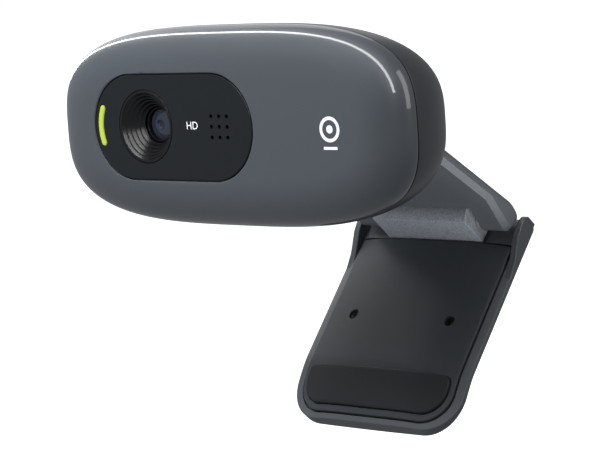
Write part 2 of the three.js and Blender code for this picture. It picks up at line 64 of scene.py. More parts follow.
def makeCamera(values):
    azimuth = math.radians(values["azimuth"])
    elevation = math.radians(values["elevation"])
    roll = math.radians(values["roll"])
    level = math.cos(elevation)
    forward = Vector((-math.sin(azimuth) * level, math.cos(azimuth) * level, -math.sin(elevation)))
    right = Vector((math.cos(azimuth), math.sin(azimuth), 0))
    up = right.cross(forward)
    rolledRight = right * math.cos(roll) + up * math.sin(roll)
    rolledUp = up * math.cos(roll) - right * math.sin(roll)
    data = bpy.data.cameras.new("camera")
    data.lens = values["lens"]
    data.clip_start, data.clip_end = values["clip"]
    camera = bpy.data.objects.new("camera", data)
    bpy.context.scene.collection.objects.link(camera)
    spin = Matrix((rolledRight, rolledUp, -forward)).transposed().to_4x4()
    camera.matrix_world = Matrix.Translation(places["head"] @ Vector(values["at"])) @ spin
    bpy.context.scene.camera = camera


makeCamera(cameraSet)


def deselectAll():
    if bpy.context.mode != "OBJECT":
        bpy.ops.object.mode_set(mode="OBJECT")
    bpy.ops.object.select_all(action="DESELECT")


def choose(piece):
    deselectAll()
    piece.select_set(True)
    bpy.context.view_layer.objects.active = piece


def useModifier(piece, kind, **settings):
    choose(piece)
    step = piece.modifiers.new(kind.lower(), kind)
    for key, value in settings.items():
        setattr(step, key, value)
    bpy.ops.object.modifier_apply(modifier=step.name)


def carve(piece, tool, operation="DIFFERENCE", careful=False):
    useModifier(piece, "BOOLEAN", object=tool, operation=operation, solver="EXACT", use_self=careful)
    bpy.data.objects.remove(tool)


def roundEdges(piece, width, segments, angle=35):
    useModifier(piece, "BEVEL", width=width * mm, segments=segments, limit_method="ANGLE",
                angle_limit=math.radians(angle), use_clamp_overlap=True)


def faceOut(piece, merge=0.0005):
    choose(piece)
    bpy.ops.object.mode_set(mode="EDIT")
    bpy.ops.mesh.select_all(action="SELECT")
    bpy.ops.mesh.remove_doubles(threshold=merge * mm)
    bpy.ops.mesh.normals_make_consistent(inside=False)
    bpy.ops.object.mode_set(mode="OBJECT")


def loopStack(name, loops, capStart=True, capEnd=True):
    # A wire loop is extruded again and again, and each new loop is laid on its own outline.
    deselectAll()
    bpy.ops.mesh.primitive_circle_add(vertices=len(loops[0]), radius=1, fill_type="NOTHING")
    piece = bpy.context.object
    piece.name = name
    for vertex, point in zip(piece.data.vertices, loops[0]):
        vertex.co = Vector(point) * mm
    bpy.ops.object.mode_set(mode="EDIT")
    bpy.ops.mesh.select_all(action="SELECT")
    if capStart:
        bpy.ops.mesh.edge_face_add()
    net = bmesh.from_edit_mesh(piece.data)
    order = {tuple(v.co): i for i, v in enumerate(net.verts)}
    for loop in loops[1:]:
        for face in net.faces:
            face.select = False
        for edge in net.edges:
            edge.select = tuple(edge.verts[0].co) in order and tuple(edge.verts[1].co) in order
        bpy.ops.mesh.extrude_edges_move()
        net = bmesh.from_edit_mesh(piece.data)
        fresh = {}
        for vertex in [v for v in net.verts if v.select]:
            index = order[tuple(vertex.co)]
            vertex.co = Vector(loop[index]) * mm
            fresh[tuple(vertex.co)] = index
        order = fresh
        bmesh.update_edit_mesh(piece.data)
    if capEnd:
        bpy.ops.mesh.edge_face_add()
    bpy.ops.object.mode_set(mode="OBJECT")
    faceOut(piece)
    return piece


def outlineBar(name, outline, x0, x1, rim=0, segments=1, angle=35):
    # A side outline of (y, z) points, given width along x, its edges rounded or chamfered.
    piece = loopStack(name, [[(x0, y, z) for y, z in outline], [(x1, y, z) for y, z in outline]])
    if rim:
        roundEdges(piece, rim, segments, angle)
    return piece


def rod(radius, start, end, sides=48):
    deselectAll()
    start, end = Vector(start) * mm, Vector(end) * mm
    run = end - start
    middle = (start + end) / 2
    bpy.ops.mesh.primitive_cylinder_add(vertices=sides, radius=radius * mm, depth=run.length, location=middle)
    piece = bpy.context.object
    piece.rotation_mode = "QUATERNION"
    piece.rotation_quaternion = Vector((0, 0, 1)).rotation_difference(run)
    bpy.ops.object.transform_apply(location=True, rotation=True, scale=True)
    return piece


def box(low, high):
    deselectAll()
    low, high = Vector(low) * mm, Vector(high) * mm
    bpy.ops.mesh.primitive_cube_add(size=1, location=(low + high) / 2, scale=high - low)
    bpy.ops.object.transform_apply(location=True, rotation=True, scale=True)
    return bpy.context.object


def merged(pieces):
    deselectAll()
    for piece in pieces:
        piece.select_set(True)
    bpy.context.view_layer.objects.active = pieces[0]
    bpy.ops.object.join()
    return bpy.context.object


def roundedSlab(name, values, top, bottom, rim=0, segments=4, pitch=0.7):
    # A flat grid whose corners are drawn in to arcs, thickened, then laid on two surfaces.
    deselectAll()
    halfWidth = values["half"]
    halfLength = (values["near"] - values["far"]) / 2
    middle = (values["near"] + values["far"]) / 2
    columns = round(2 * halfWidth / pitch)
    rows = round(2 * halfLength / pitch)
    bpy.ops.mesh.primitive_grid_add(x_subdivisions=columns, y_subdivisions=rows, size=2)
    piece = bpy.context.object
    piece.name = name
    for vertex in piece.data.vertices:
        x, y = vertex.co.x * halfWidth, vertex.co.y * halfLength
        radius = values["topCorner"] if y > 0 else values["corner"]
        u = (abs(x) - halfWidth + radius) / radius
        v = (abs(y) - halfLength + radius) / radius
        if u > 0 and v > 0:
            x = math.copysign(halfWidth - radius + radius * u * math.sqrt(1 - v * v / 2), x)
            y = math.copysign(halfLength - radius + radius * v * math.sqrt(1 - u * u / 2), y)
        vertex.co = Vector((x, y + middle, 0)) * mm
    bpy.ops.object.mode_set(mode="EDIT")
    bpy.ops.mesh.select_all(action="SELECT")
    bpy.ops.mesh.extrude_region_move(TRANSFORM_OT_translate={"value": (0, 0, mm)})
    net = bmesh.from_edit_mesh(piece.data)
    for vertex in net.verts:
        x, y = vertex.co.x / mm, vertex.co.y / mm
        vertex.co.z = (top(x, y) if vertex.select else bottom(x, y)) * mm
    bmesh.update_edit_mesh(piece.data)
    bpy.ops.object.mode_set(mode="OBJECT")
    faceOut(piece)
    if rim:
        roundEdges(piece, rim, segments, angle=50)
    return piece


def finish(piece, place, body, slot, replaced, smooth=32):
    # Puts a piece where its body is, shades and colours it, and hands it over to the frame.
    choose(piece)
    piece.matrix_world = places[place]
    bpy.ops.object.transform_apply(location=True, rotation=True, scale=True)
    bpy.ops.object.shade_smooth_by_angle(angle=math.radians(smooth))
    useModifier(piece, "WEIGHTED_NORMAL", keep_sharp=True)
    piece.data.materials.clear()
    piece.data.materials.append(finishes[slot])
    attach(piece, body)
    if replaced:
        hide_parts(*replaced)
    deselectAll()


ovalSet = {"halfWidth": 36.45, "halfHeight": 15.95, "squareness": 3.2, "points": 144}


def oval(inset, y):
    power = ovalSet["squareness"]
    points = []
    for step in range(ovalSet["points"]):
        turn = 2 * math.pi * (step + 0.5) / ovalSet["points"]
        across, high = math.cos(turn), math.sin(turn)
        reach = (abs(across) ** power + abs(high) ** power) ** (-1 / power)
        x = (ovalSet["halfWidth"] - inset) * reach * across
        z = (ovalSet["halfHeight"] - inset) * reach * high
        points.append((x, y, z))
    return points


def stadium(values, grow, y, points=96):
    radius = values["height"] / 2 + grow
    run = values["width"] / 2 - values["height"] / 2
    outline = []
    for hand, start in ((1, -90), (-1, 90)):
        for step in range(points // 2):
            turn = math.radians(start + 180 * step / (points // 2 - 1))
            x = values["x"] + hand * run + radius * math.cos(turn)
            outline.append((x, y, values["z"] + radius * math.sin(turn)))
    return outline


def ring(centre, radius, y, points=96):
    turns = [2 * math.pi * step / points for step in range(points)]
    return [(centre[0] + radius * math.cos(turn), y, centre[1] + radius * math.sin(turn)) for turn in turns]


def turnedPiece(name, outline, centre, points=96):
    # A closed outline of (radius, y) spun about the y axis.
    loops = [ring(centre, radius, y, points) for radius, y in [*outline, outline[0]]]
    return loopStack(name, loops, False, False)


def arc(centre, radius, start, end, steps):
    turns = [math.radians(start + (end - start) * step / steps) for step in range(steps + 1)]
    return [(centre[0] + radius * math.cos(turn), centre[1] + radius * math.sin(turn)) for turn in turns]


def lampOutline(values, grow, y):
    # A bowed bar with round ends.
    half = values["width"] / 2 + grow
    ends = []
    for turn in (values["from"], values["to"]):
        direction = math.radians(turn)
        x = values["x"] + values["radius"] * math.cos(direction)
        ends.append((x, values["z"] + values["radius"] * math.sin(direction)))
    centre = (values["x"], values["z"])
    outer = arc(centre, values["radius"] + half, values["from"], values["to"], 16)
    inner = arc(centre, values["radius"] - half, values["to"], values["from"], 16)
    endCap = arc(ends[1], half, values["to"], values["to"] + 180, 8)[1:-1]
    startCap = arc(ends[0], half, values["from"] + 180, values["from"] + 360, 8)[1:-1]
    return [(x, y, z) for x, z in [*outer, *endCap, *inner, *startCap]]


class Signal:
    # A socket of a material's nodes, so that node maths reads as plain arithmetic.

    def __init__(self, tree, socket):
        self.tree = tree
        self.socket = socket

    def math(self, operation, other, swapped=False):
        node = self.tree.nodes.new("ShaderNodeMath")
        node.operation = operation
        pair = (other, self) if swapped else (self, other)
        for slot, value in zip(node.inputs, pair):
            feed(self.tree, slot, value)
        return Signal(self.tree, node.outputs[0])

    def __add__(self, other):
        return self.math("ADD", other)

    def __radd__(self, other):
        return self.math("ADD", other, True)

    def __sub__(self, other):
        return self.math("SUBTRACT", other)

    def __rsub__(self, other):
        return self.math("SUBTRACT", other, True)

    def __mul__(self, other):
        return self.math("MULTIPLY", other)

    def __rmul__(self, other):
        return self.math("MULTIPLY", other, True)

    def __gt__(self, other):
        return self.math("GREATER_THAN", other)


def feed(tree, slot, value):
    if isinstance(value, Signal):
        tree.links.new(value.socket, slot)
    else:
        slot.default_value = value


class Finish:
    def __init__(self, name):
        self.material = bpy.data.materials.new(name)
        self.material.use_nodes = True
        self.tree = self.material.node_tree
        self.shader = self.tree.nodes["Principled BSDF"]
        self.space = self.node("ShaderNodeTexCoord", output="Object")

    def node(self, kind, settings=None, inputs=None, output=0):
        made = self.tree.nodes.new(kind)
        for key, value in (settings or {}).items():
            if key == "stops":
                ramp = made.color_ramp
                while len(ramp.elements) < len(value):
                    ramp.elements.new(0.5)
                for element, (position, colour) in zip(ramp.elements, value):
                    element.position = position
                    element.color = (*colour, 1)
            else:
                setattr(made, key, value)
        for key, value in (inputs or {}).items():
            feed(self.tree, made.inputs[key], value)
        return Signal(self.tree, made.outputs[output])

    def noise(self, size, detail=3, roughness=0.5, stretch=None):
        space = self.space
        if stretch:
            space = self.node("ShaderNodeMapping", inputs={"Vector": space, "Scale": stretch})
        inputs = {"Vector": space, "Scale": 1 / (size * mm), "Detail": detail, "Roughness": roughness}
        return self.node("ShaderNodeTexNoise", inputs=inputs)

    def between(self, mask, first, second):
        # Of a Mix node's sockets, 6 and 7 take its colours, and output 2 gives the mixed one.
        made = self.tree.nodes.new("ShaderNodeMix")
        made.data_type = "RGBA"
        feed(self.tree, made.inputs["Factor"], mask)
        feed(self.tree, made.inputs[6], first if isinstance(first, Signal) else (*first, 1))
        feed(self.tree, made.inputs[7], second if isinstance(second, Signal) else (*second, 1))
        return Signal(self.tree, made.outputs[2])

    def bump(self, height, depth):
        return self.node("ShaderNodeBump", inputs={"Height": height, "Distance": depth * mm, "Strength": 1})

    def set(self, **values):
        for key, value in values.items():
            feed(self.tree, self.shader.inputs[key.replace("_", " ")], value)


def tint(colour, share):
    return tuple(min(1, channel * share) for channel in colour)


# Every plastic: its colour, how rough it is, the size and depth of its moulded texture in
# millimetres, and how far colour and roughness wander over it.
plastics = {
    "front_shell": {"colour": (0.050, 0.058, 0.069), "rough": 0.42, "grain": 0.05, "depth": 0.0006,
                    "wander": 0.04, "coat": 1.0, "coatRough": 0.05},
    "rear_shell": {"colour": (0.036, 0.039, 0.043), "rough": 0.36, "grain": 0.09, "depth": 0.0022,
                   "wander": 0.06},
    "panel": {"colour": (0.0062, 0.0078, 0.0100), "rough": 0.34, "grain": 0.06, "depth": 0.001,
              "wander": 0.06},
    "hood": {"colour": (0.0045, 0.0046, 0.0058), "rough": 0.30, "grain": 0.08, "depth": 0.001,
             "wander": 0.08},
    "clip": {"colour": (0.074, 0.081, 0.091), "rough": 0.45, "grain": 0.12, "depth": 0.004,
             "wander": 0.07},
    "plate": {"colour": (0.044, 0.049, 0.055), "rough": 0.46, "grain": 0.10, "depth": 0.003,
              "wander": 0.08, "shine": 0.22},
    "rubber": {"colour": (0.015, 0.017, 0.0195), "rough": 0.52, "grain": 0.16, "depth": 0.006,
               "wander": 0.10, "shine": 0.3},
    "chip": {"colour": (0.010, 0.010, 0.012), "rough": 0.55, "grain": 0.10, "depth": 0.006,
             "wander": 0.10},
    "nylon": {"colour": (0.62, 0.60, 0.54), "rough": 0.50, "grain": 0.14, "depth": 0.004,
              "wander": 0.06},
}
# The cloudiness and the small scuffs that all plastics share.
wearSet = {"cloud": 9, "scuff": 2.2, "stretch": (1, 3, 1), "from": 0.66, "share": 0.12, "paler": 1.35,
           "cloudRough": 1.2, "scuffRough": 0.8}
plasticIor = 1.49


def makePlastic(name, values):
    made = Finish(name)
    cloud = made.noise(wearSet["cloud"], 4, 0.55)
    fine = made.noise(values["grain"], 2, 0.6)
    scuff = made.noise(wearSet["scuff"], 5, 0.7, wearSet["stretch"])
    colour = values["colour"]
    wander = values["wander"]
    base = made.between(cloud, tint(colour, 1 - wander), tint(colour, 1 + wander))
    worn = (scuff > wearSet["from"]) * wearSet["share"]
    made.set(Base_Color=made.between(worn, base, tint(colour, wearSet["paler"])))
    rough = values["rough"] + (cloud - 0.5) * (wearSet["cloudRough"] * wander)
    made.set(Roughness=rough + (scuff - 0.5) * (wearSet["scuffRough"] * wander))
    made.set(Normal=made.bump(fine, values["depth"]))
    made.set(IOR=plasticIor)
    if "shine" in values:
        made.set(Specular_IOR_Level=values["shine"])
    if "coat" in values:
        made.set(Coat_Weight=values["coat"], Coat_Roughness=values["coatRough"], Coat_IOR=1.5)
    return made.material


# The colour of the hollows is painted shade, darker than the crests.
grainSet = {"pebble": 0.34, "depth": 0.035, "rough": 0.5, "hollowShade": (0.15, 0.163, 0.182),
            "crest": (0.32, 0.348, 0.387), "lowest": 0.6, "highest": 1.7}


def makeGrain(values):
    # Fine leather-like pebbles with hollows between them; the hollows are coloured darker, painted shade.
    made = Finish("grain")
    warp = made.noise(0.9, 2)
    pebbles = {"Vector": made.space, "Scale": 1 / (values["pebble"] * mm), "Smoothness": 0.6}
    cells = made.node("ShaderNodeTexVoronoi", {"feature": "SMOOTH_F1"}, pebbles, "Distance")
    fine = made.noise(0.11, 3, 0.7)
    height = 1 - cells * 0.9 + fine * 0.55 + warp * 0.4
    reach = {"Value": height, "From Min": values["lowest"], "From Max": values["highest"]}
    hollowShadeMix = made.node("ShaderNodeMapRange", inputs=reach)
    # The lower the grain, the darker its colour: painted shade in the hollows between the pebbles.
    made.set(Base_Color=made.between(hollowShadeMix, values["hollowShade"], values["crest"]))
    made.set(Roughness=values["rough"] + (0.5 - fine) * 0.25)
    made.set(Normal=made.bump(height, values["depth"]))
    return made.material


# Stops run from the middle of the glass outwards: the black pupil, painted shade of the lens's unlit inside; its
# bright edge, a painted reflection ring; the bowl; the rim.
glassSet = {"x": -14.6, "z": 0.3, "radius": 2.6, "rough": 0.09, "haze": 0.25, "hazeColour": (0.03, 0.04, 0.075),
            "stops": [(0, (0.002, 0.002, 0.003)), (0.16, (0.004, 0.005, 0.008)), (0.2, (0.06, 0.07, 0.095)),
                      (0.3, (0.013, 0.018, 0.034)), (0.62, (0.017, 0.023, 0.042)), (0.9, (0.045, 0.045, 0.06))]}


def makeGlass(values):
    made = Finish("glass")
    apart = made.node("ShaderNodeSeparateXYZ", inputs={"Vector": made.space}, output="X")
    tall = made.node("ShaderNodeSeparateXYZ", inputs={"Vector": made.space}, output="Z")
    centre = places["head"] @ (Vector((values["x"], 0, values["z"])) * mm)
    across = (apart - centre.x) * 1000
    high = (tall - centre.z) * 1000
    reach = (across * across + high * high).math("POWER", 0.5)
    # The black pupil is painted shade and the bright ring round it a painted reflection.
    lensShadeAndGlint = made.node("ShaderNodeValToRGB", {"stops": values["stops"]}, {"Fac": reach * (1 / values["radius"])})
    haze = made.noise(0.5, 3)
    made.set(Base_Color=made.between(haze * values["haze"], lensShadeAndGlint, values["hazeColour"]))
    made.set(Roughness=values["rough"] + haze * 0.05, Coat_Weight=1.0, Coat_Roughness=0.03)
    made.set(Normal=made.bump(made.noise(0.3, 2), 0.0005))
    return made.material


litSet = {"colour": (0.35, 0.42, 0.06), "edge": (0.25, 0.36, 0.04), "glow": (0.50, 0.60, 0.055),
          "glowEdge": (0.36, 0.47, 0.04), "power": 0.32, "rough": 0.25}


def makeLit(values):
    # The lit light guide: uneven in depth and frosted on its face.
    made = Finish("lamp")
    frost = made.noise(0.25, 3)
    depth = made.noise(1.4, 2)
    made.set(Base_Color=made.between(depth, values["colour"], values["edge"]))
    made.set(Emission_Color=made.between(depth * 0.8 + frost * 0.2, values["glow"], values["glowEdge"]))
    made.set(Emission_Strength=values["power"], Roughness=values["rough"] + frost * 0.15)
    made.set(Normal=made.bump(frost, 0.002))
    return made.material


metals = {
    "steel": {"colour": (0.5, 0.51, 0.53), "rough": 0.32},
    # The near-black steel is painted shade, for the plate's screws deep in their holes.
    "holeShadeSteel": {"colour": (0.03, 0.03, 0.033), "rough": 0.45},
}


def makeSteel(name, values):
    # Plated and turned: fine lines round the axis of turning, and a few rubbed spots.
    made = Finish(name)
    lines = made.noise(0.06, 3, 0.6, (1, 0.1, 1))
    spots = made.noise(0.7, 4)
    worn, bright = tint(values["colour"], 0.8), tint(values["colour"], 1.1)
    made.set(Base_Color=made.between(spots, worn, bright), Metallic=1.0)
    made.set(Roughness=values["rough"] + (lines - 0.5) * 0.2 + (spots - 0.5) * 0.1)
    made.set(Normal=made.bump(lines, 0.0015))
    return made.material


boardSet = {"mask": (0.008, 0.075, 0.035), "maskPale": (0.014, 0.11, 0.05), "track": (0.02, 0.17, 0.08),
            "tin": (0.6, 0.58, 0.5), "rough": 0.35}


def makeBoard(values):
    # Solder mask over copper tracks, with tinned spots.
    made = Finish("circuit_board")
    weave = made.noise(0.3, 2)
    laid = made.node("ShaderNodeMapping", inputs={"Vector": made.space, "Rotation": (axisTurn, 0, 0)})
    bricks = {"Vector": laid, "Scale": 260, "Mortar Size": 0.03}
    tracks = made.node("ShaderNodeTexBrick", inputs=bricks, output="Fac")
    spots = {"Vector": made.space, "Scale": 420}
    pads = made.node("ShaderNodeTexVoronoi", {"feature": "F1"}, spots, "Distance")
    mask = made.between(weave, values["mask"], values["maskPale"])
    traced = made.between(tracks, mask, values["track"])
    made.set(Base_Color=made.between(1 - (pads > 0.16), traced, values["tin"]))
    made.set(Roughness=values["rough"] + weave * 0.15, Normal=made.bump(tracks, 0.03))
    return made.material


inkSet = {"thin": (0.78, 0.79, 0.8), "full": (0.9, 0.9, 0.91), "rough": 0.45}


def makeInk(values):
    # Pad-printed ink: not quite solid, slightly raised.
    made = Finish("print")
    speck = made.noise(0.12, 3, 0.6)
    made.set(Base_Color=made.between(speck, values["thin"], values["full"]))
    made.set(Roughness=values["rough"] + speck * 0.1, Normal=made.bump(speck, 0.002))
    return made.material


finishes = {name: makePlastic(name, values) for name, values in plastics.items()}
finishes.update({name: makeSteel(name, values) for name, values in metals.items()})
finishes["grain"] = makeGrain(grainSet)
finishes["glass"] = makeGlass(glassSet)
finishes["lamp"] = makeLit(litSet)
finishes["circuit_board"] = makeBoard(boardSet)
finishes["print"] = makeInk(inkSet)
print("finishes made:", len(finishes))

# Every node that stays takes the finish of its own slot; the plate's screws take a near-black steel, painted shade
# of their deep holes.
for part in frame["record"]["subparts"]:
    node = frame["nodes"][part["node"]]
    node.data.materials.clear()
    dark = part["node"].startswith("plate_screw")
    node.data.materials.append(finishes["holeShadeSteel" if dark else part["material_slot"]])

# What the face is cut for: the panel, the lens hood, the lamp and the microphone's holes.
panelSet = {"x": -8.85, "z": 0.19, "width": 34.46, "height": 16.87, "face": 0.05, "back": 0.9,
            "gap": 0.15, "edge": 0.24, "hoodGap": 0.1, "holeFlare": 0.12}
hoodSet = {"radius": 5.85, "mouth": 5.4, "throat": 3.0, "depth": 3.2, "back": 4.0, "steps": 5, "ledge": 0.14,
           "lead": 0.05, "stop": 0.25, "broken": 0.05, "sides": 120}
lampSet = {"x": panelSet["x"] - panelSet["width"] / 2 + panelSet["height"] / 2, "z": panelSet["z"],
           "radius": 7.2, "width": 1.15, "from": 155.6, "to": 200.4}
micSet = {"x": 1.59, "z": 0.35, "pitch": 1.66, "hole": 0.33, "rows": 3}
cutRun = (-1, 4)
hoodCentre = (glassSet["x"], glassSet["z"])


def roundedProfile(values, flat, rim, reach, offset, steps):
    # Loops from the rim to the flat end along a quarter of a squarish ellipse.
    loops = []
    for step in range(1, steps + 1):
        turn = math.radians(90) * step / steps
        along = math.sin(turn) ** (2 / values["power"])
        inset = offset + reach * (1 - max(0, math.cos(turn)) ** (2 / values["power"]))
        loops.append(oval(inset, rim + (flat - rim) * along))
    return loops


frontSet = {"rim": 5.775, "reach": 8.0, "power": 2.14, "wall": 2.2, "rimWall": 2.0, "edge": 0.16, "steps": 26,
            "innerDrop": 1.5, "innerSteps": 10, "hoodGap": 0.25, "lampGap": 0.35, "micHole": 2.6,
            "flare": [(0.9, -0.7), (0.26, -0.02), (0.12, 0.05), (0.03, 0.14), (0, 0.28), (0, 1.0)]}


def makeFrontShell(values):
    edge = values["edge"]
    innerReach = values["reach"] - values["innerDrop"]
    inside = roundedProfile(values, values["wall"], values["rim"], innerReach, values["rimWall"],
                            values["innerSteps"])[::-1]
    rimLoops = [oval(values["rimWall"], values["rim"]), oval(edge, values["rim"]),
                oval(edge * 0.3, values["rim"] - edge * 0.3), oval(0, values["rim"] - edge)]
    outside = roundedProfile(values, 0, values["rim"] - edge, values["reach"], 0, values["steps"])
    shell = loopStack("front_shell_skin", [*inside, *rimLoops, *outside])
    flare = [stadium(panelSet, panelSet["gap"] + wide, y) for wide, y in values["flare"]]
    carve(shell, loopStack("opening", flare))
    hoodHole = hoodSet["radius"] + values["hoodGap"]
    carve(shell, loopStack("hoodHole", [ring(hoodCentre, hoodHole, y) for y in cutRun]))
    carve(shell, loopStack("lampHole", [lampOutline(lampSet, values["lampGap"], y) for y in cutRun]))
    micEnds = [(micSet["x"], y, micSet["z"]) for y in cutRun]
    carve(shell, rod(values["micHole"], *micEnds))
    finish(shell, "head", "head", "front_shell", ["front_shell"])


glandSet = {"x": -17, "bore": 1.6, "hole": 2.7, "ribs": 3, "ribFrom": 22.15, "ribPitch": 0.95,
            "ribRadius": 3.12, "ribTaper": 0.2}
bracketSet = {"y": 25.0, "radius": 2.9, "half": 5.2, "stem": 2.4, "bore": 1.3, "start": 18.4, "gap": 0.2,
              "foot": ((-9.5, 18.2, -3.3), (9.5, 19.7, 3.3))}
rearSet = {"rim": 5.925, "back": 21.7, "reach": 12.15, "power": 2.01, "wall": 1.8, "rimWall": 2.6, "edge": 0.16,
           "steps": 30, "innerDrop": 1.5, "innerSteps": 12, "lipFrom": 5.3, "lipTo": 8.0, "lipOut": 2.15,
           "lipIn": 3.05, "wellX": 30.3, "wellSeat": 13.9, "well": 2.15, "tube": 2.9, "tubeFrom": 9.2,
           "cut": (18, 24)}


def makeRearShell(values):
    edge, rim = values["edge"], values["rim"]
    innerReach = values["reach"] - values["innerDrop"]
    inner = roundedProfile(values, values["back"] - values["wall"], rim, innerReach, values["rimWall"],
                           values["innerSteps"])[::-1]
    lip = [oval(values["lipIn"], values["lipTo"]), oval(values["lipIn"], values["lipFrom"]),
           oval(values["lipOut"], values["lipFrom"]), oval(values["lipOut"], rim),
           oval(edge, rim), oval(edge * 0.3, rim + edge * 0.3)]
    outside = [oval(0, rim + edge)]
    outside += roundedProfile(values, values["back"], rim + edge, values["reach"], 0, values["steps"])
    shell = loopStack("rear_shell_skin", [*inner[:-2], *lip, *outside])
    solid = loopStack("outside", outside)
    tubes = []
    wells = []
    for x in (-values["wellX"], values["wellX"]):
        tubes.append(rod(values["tube"], (x, values["tubeFrom"], 0), (x, 22, 0)))
        wells.append(rod(values["well"], (x, values["wellSeat"], 0), (x, 24, 0)))
    tubes = merged(tubes)
    carve(tubes, solid, "INTERSECT")
    carve(shell, tubes, "UNION")
    carve(shell, merged(wells))
    near, far = values["cut"]
    carve(shell, rod(glandSet["hole"], (glandSet["x"], near, 0), (glandSet["x"], far, 0)))
    slotHalf = bracketSet["half"] + bracketSet["gap"]
    slotHigh = bracketSet["stem"] + bracketSet["gap"]
    carve(shell, box((-slotHalf, near, -slotHigh), (slotHalf, far, slotHigh)))
    finish(shell, "head", "head", "rear_shell", ["rear_shell"])


def makePanel(values):
    edge, face = values["edge"], values["face"]
    side = [(0, values["back"]), (0, face + edge), (-edge * 0.13, face + edge * 0.5),
            (-edge * 0.5, face + edge * 0.13), (-edge, face)]
    panel = loopStack("face_panel_skin", [stadium(values, grow, y) for grow, y in side])
    snug, flared = values["hoodGap"], values["hoodGap"] + values["holeFlare"]
    hole = [(flared, -0.2), (snug, 0.12), (snug, 2)]
    carve(panel, loopStack("hoodHole", [ring(hoodCentre, hoodSet["radius"] + grow, y) for grow, y in hole]))
    carve(panel, loopStack("lampHole", [lampOutline(lampSet, grow, y) for grow, y in hole]))
    holes = []
    for row in range(micSet["rows"]):
        for column in range(micSet["rows"]):
            x = micSet["x"] + (column - 1) * micSet["pitch"]
            z = micSet["z"] + (row - 1) * micSet["pitch"]
            holes.append(rod(micSet["hole"], (x, -1, z), (x, 2, z), 24))
    carve(panel, merged(holes))
    finish(panel, "head", "head", "panel", ["face_panel"])


def makeHood(values):
    # Conical steps narrow the hood: a wall, then a small ledge with a broken edge.
    outline = [(values["radius"], 0.06), (values["radius"] - 0.06, 0.0), (values["mouth"] + 0.06, 0.0)]
    fall = values["mouth"] - values["throat"]
    run = values["depth"] - values["lead"] - values["stop"]
    for step in range(values["steps"]):
        radius = values["mouth"] - fall * step / values["steps"]
        y = values["lead"] + run * step / values["steps"]
        nextRadius = values["mouth"] - fall * (step + 1) / values["steps"]
        nextY = values["lead"] + run * (step + 1) / values["steps"]
        ledge = nextRadius + values["ledge"]
        outline += [(radius, y), (radius - values["broken"], y + 0.06), (ledge + 0.04, nextY - 0.04),
                    (ledge, nextY - 0.01), (nextRadius + values["broken"], nextY)]
    outline += [(values["throat"], values["depth"] - 0.18), (values["throat"], values["back"]),
                (values["radius"], values["back"])]
    hood = turnedPiece("lens_hood_skin", outline, hoodCentre, values["sides"])
    finish(hood, "head", "head", "hood", ["lens_hood"])


# The barrel's outline of (radius, y), and the glass: a dome that dips to a small black pupil.
barrelOutline = [(2.85, 4.3), (2.85, 9.5), (2.3, 9.5), (2.3, 4.9), (2.56, 4.9), (2.56, 3.5), (2.58, 3.4),
                 (2.63, 3.32), (2.7, 3.29), (2.78, 3.32), (2.83, 3.4), (2.85, 3.5)]
domeSet = {"rim": 2.55, "rimBack": 4.8, "rimFront": 4.05, "pupil": 0.95, "front": 3.42, "sweep": 66, "steps": 8,
           "dip": [(0.9, 3.36), (0.76, 3.36), (0.7, 3.42), (0.56, 3.6), (0.42, 3.8), (0.3, 3.86), (0.12, 3.88)]}


def makeLens(values):
    finish(turnedPiece("lens_barrel_skin", barrelOutline, hoodCentre), "head", "head", "hood", ["lens_barrel"])
    dome = [(values["rim"], values["rimBack"]), (values["rim"], values["rimFront"])]
    sweep = math.radians(values["sweep"])
    wide = values["rim"] - values["pupil"]
    sag = values["rimFront"] - values["front"]
    for step in range(1, values["steps"] + 1):
        turn = sweep * (1 - step / values["steps"])
        radius = values["pupil"] + wide * math.sin(turn) / math.sin(sweep)
        dome.append((radius, values["front"] + sag * ((radius - values["pupil"]) / wide) ** 2))
    loops = [ring(hoodCentre, radius, y) for radius, y in [*dome, *values["dip"]]]
    finish(loopStack("front_lens_skin", loops), "head", "head", "glass", ["front_lens"])


def makeLampWindow(values):
    rims = [(0, 3.2), (0, 0.22), (-0.05, 0.1), (-0.16, 0.03), (-0.32, 0.0)]
    lamp = loopStack("led_window_skin", [lampOutline(values, grow, y) for grow, y in rims])
    finish(lamp, "head", "head", "lamp", ["led_window"])


def makeGland(values):
    bore = values["bore"]
    outline = [(bore, 18.5), (3.4, 18.5), (3.4, 19.7), (2.5, 19.7), (2.5, 21.75), (3.0, 21.8), (3.15, 21.95)]
    for rib in range(values["ribs"]):
        y = values["ribFrom"] + rib * values["ribPitch"]
        wide = values["ribRadius"] - rib * values["ribTaper"]
        outline += [(wide, y), (wide - 0.03, y + 0.4), (wide - 0.12, y + 0.5), (wide - 0.5, y + 0.55),
                    (wide - 0.52, y + 0.8), (wide - 0.26, y + 0.87)]
    outline += [(2.4, 25.0), (2.3, 25.15), (2.1, 25.2), (bore + 0.15, 25.2), (bore, 25.05)]
    gland = turnedPiece("cable_gland_skin", outline, (values["x"], 0))
    finish(gland, "head", "head", "rubber", ["cable_gland"])


def makeBracket(values):
    stem, start = values["stem"], values["start"]
    meet = math.degrees(math.acos(-math.sqrt(values["radius"] ** 2 - stem ** 2) / values["radius"]))
    outline = [(start, -stem)] + arc((values["y"], 0), values["radius"], -meet, meet, 40) + [(start, stem)]
    bracket = outlineBar("tilt_bracket_skin", outline, -values["half"], values["half"], 0.25, 3)
    carve(bracket, box(*values["foot"]), "UNION")
    carve(bracket, rod(values["bore"], (-10, values["y"], 0), (10, values["y"], 0)))
    finish(bracket, "head", "head", "clip", ["tilt_bracket"])


